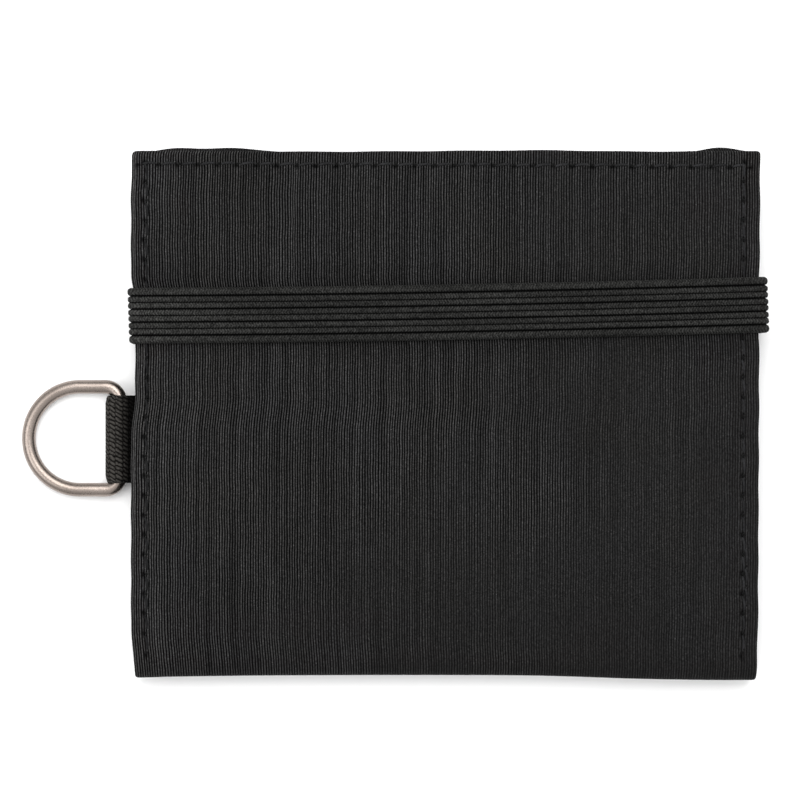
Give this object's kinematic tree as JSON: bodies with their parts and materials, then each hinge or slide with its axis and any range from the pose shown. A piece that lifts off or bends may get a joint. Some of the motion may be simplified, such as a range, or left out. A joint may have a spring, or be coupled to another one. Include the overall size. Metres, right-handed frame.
{
  "type": "zippered bifold wallet",
  "caption": "Folding ribbed-nylon wallet held shut by an elastic band, with a D-ring on a webbing tab and a zipped coin pocket inside.",
  "frame": {"origin": "on the outer face of the back half, midway across its width and midway from the fold to the opening edge", "axes": "+X to the right across the front face, +Y from the fold towards the edge that opens, +Z out of the front face"},
  "size_m": [0.1314, 0.0926, 0.0119],
  "materials": {
    "ribbed_nylon": "fine corded weave, matte",
    "stiffener_board": "plain sheet",
    "lining_cloth": "plain fine weave",
    "inner_nylon": "plain weave, matte",
    "binding_tape": "grosgrain tape",
    "zip_tape": "herringbone tape",
    "nylon_coil": "moulded monofilament",
    "elastic": "braided elastic, matte",
    "webbing": "chevron webbing",
    "thread": "twisted thread",
    "zip_metal": "plated zinc",
    "ring_metal": "satin nickel plate"
  },
  "bodies": {
    "back": {"shell_back": "ribbed_nylon", "stiffener_back": "stiffener_board", "lining_back": "lining_cloth", "note_seam_tape_back": "lining_cloth", "note_pocket_wall_back": "lining_cloth", "mouth_binding_back": "binding_tape", "coin_pocket_gusset": "lining_cloth", "coin_pocket_face": "inner_nylon", "coin_pocket_top_strip": "inner_nylon", "zip_tape_lower": "zip_tape", "zip_tape_upper": "zip_tape", "zip_coil_lower": "nylon_coil", "zip_coil_upper": "nylon_coil", "zip_end_stops": "zip_metal", "band_end_left": "elastic", "band_end_right": "elastic", "ring_tab": "webbing"},
    "fold": {"shell_fold": "ribbed_nylon", "lining_fold": "lining_cloth"},
    "front": {"shell_front": "ribbed_nylon", "stiffener_front": "stiffener_board", "lining_front": "lining_cloth", "note_seam_tape_front": "lining_cloth", "note_pocket_wall_front": "lining_cloth", "mouth_binding_front": "binding_tape", "card_slot_rear": "lining_cloth", "card_slot_middle": "lining_cloth", "card_slot_near": "lining_cloth", "card_slot_seam_tape": "lining_cloth", "edge_thread": "thread"},
    "band": {"elastic_band": "elastic"},
    "slider": {"slider_body": "zip_metal", "pull_pin": "zip_metal"},
    "pull": {"pull_tab": "zip_metal"},
    "ring": {"d_ring": "ring_metal"}
  },
  "joints": [
    {"name": "fold_back", "type": "hinge", "parent": "back", "child": "fold", "pos_m": [0, -0.04535, 0.0009], "axis": [1, 0, 0], "range_deg": [0, 90]},
    {"name": "fold_front", "type": "hinge", "parent": "fold", "child": "front", "pos_m": [0, -0.04535, 0.0097], "axis": [1, 0, 0], "range_deg": [0, 90]},
    {"name": "band_turn", "type": "hinge", "parent": "back", "child": "band", "pos_m": [0, 0.0176, 0.0053], "axis": [1, 0, 0], "range_deg": [-180, 0], "deforming": ["elastic_band"]},
    {"name": "zip_slide", "type": "slide", "parent": "back", "child": "slider", "axis": [1, 0, 0], "range_m": [-0.082, 0]},
    {"name": "pull_lift", "type": "hinge", "parent": "slider", "child": "pull", "pos_m": [0.04, 0.033, 0.0064], "axis": [0, 1, 0], "range_deg": [0, 5]},
    {"name": "ring_swing", "type": "hinge", "parent": "back", "child": "ring", "pos_m": [-0.0575, -0.0046, 0.0026], "axis": [0, 1, 0], "range_deg": [-105, 100]}
  ],
  "couplings": [
    {"joint": "fold_front", "follows": "fold_back", "ratio": 1},
    {"joint": "band_turn", "follows": "fold_back", "ratio": -2}
  ]
}
